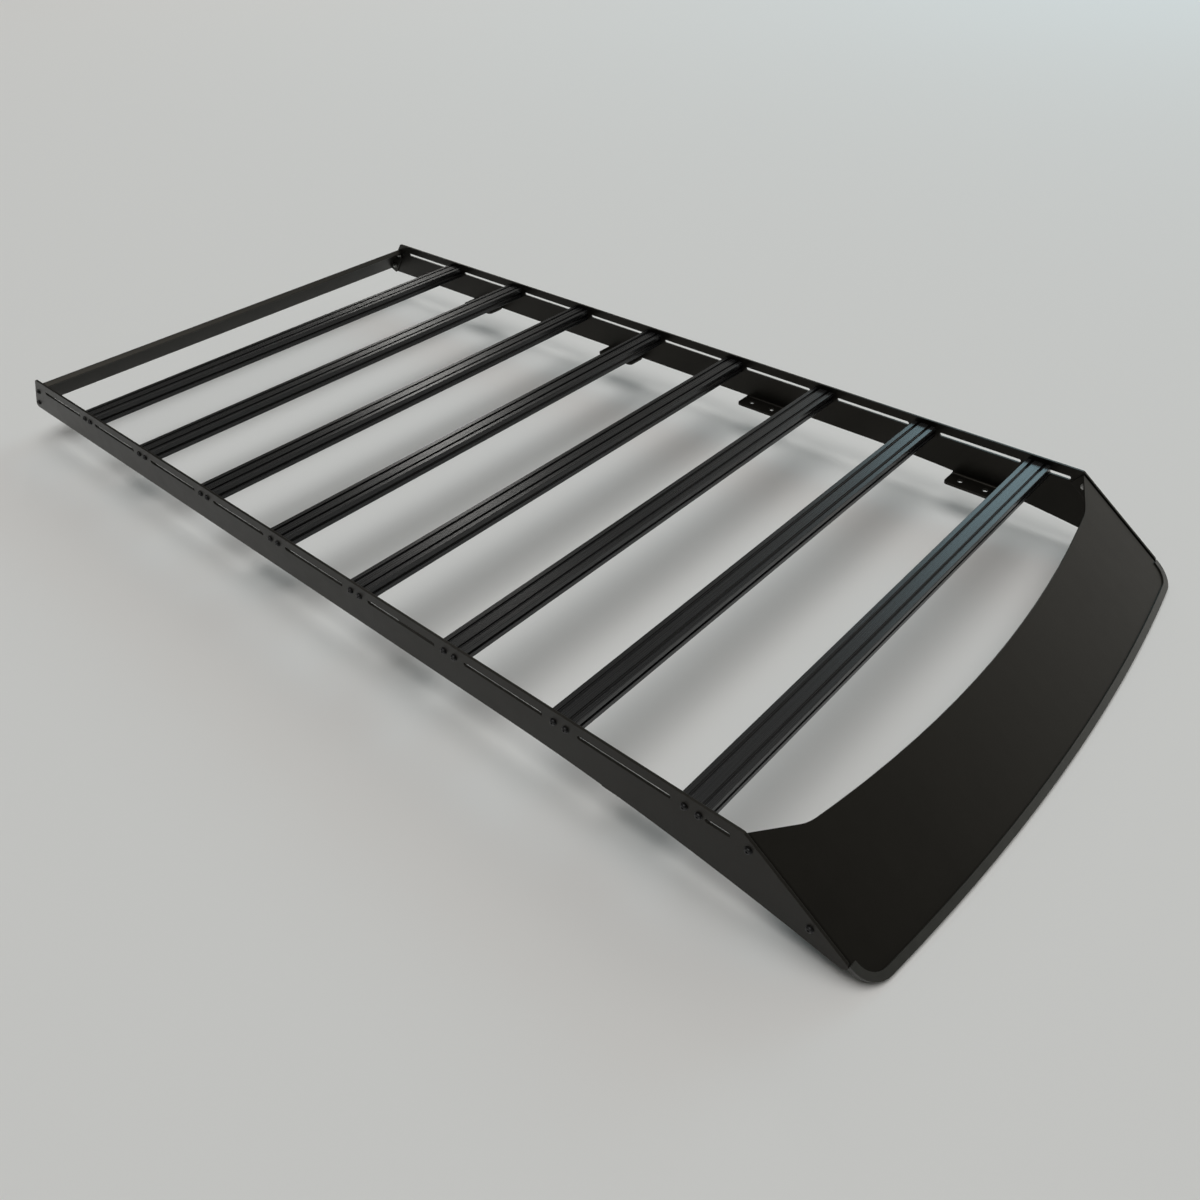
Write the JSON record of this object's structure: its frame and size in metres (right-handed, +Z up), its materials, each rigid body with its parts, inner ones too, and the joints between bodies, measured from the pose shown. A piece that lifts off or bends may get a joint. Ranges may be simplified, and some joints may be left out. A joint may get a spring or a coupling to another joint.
{
  "type": "roof rack",
  "caption": "Low full-length roof rack for a van or off-road vehicle: slotted side plates joined by T-slot crossbars, with a sloping notched wind fairing in front and a folded panel behind.",
  "frame": {"origin": "under the middle of the rack's bounding box, level with its lowest edge, where the lower edge of the fairing's seal stands", "axes": "+Y along the rack towards its rear, +Z up, +X to the left side of the vehicle as its driver sees it; the wind fairing is at -Y"},
  "size_m": [1.16, 2.4376, 0.1691],
  "materials": {
    "black_plate": "satin black powder coat on folded aluminium sheet",
    "black_extrusion": "satin black anodised aluminium extrusion",
    "rubber_seal": "semi-gloss black extruded rubber edge trim"
  },
  "bodies": {
    "root": {"side_plate_right": "black_plate", "side_plate_left": "black_plate", "crossbar_1": "black_extrusion", "crossbar_2": "black_extrusion", "crossbar_3": "black_extrusion", "crossbar_4": "black_extrusion", "crossbar_5": "black_extrusion", "crossbar_6": "black_extrusion", "crossbar_7": "black_extrusion", "crossbar_8": "black_extrusion", "wind_fairing": "black_plate", "fairing_edge_seal": "rubber_seal", "rear_panel": "black_plate"}
  },
  "joints": []
}
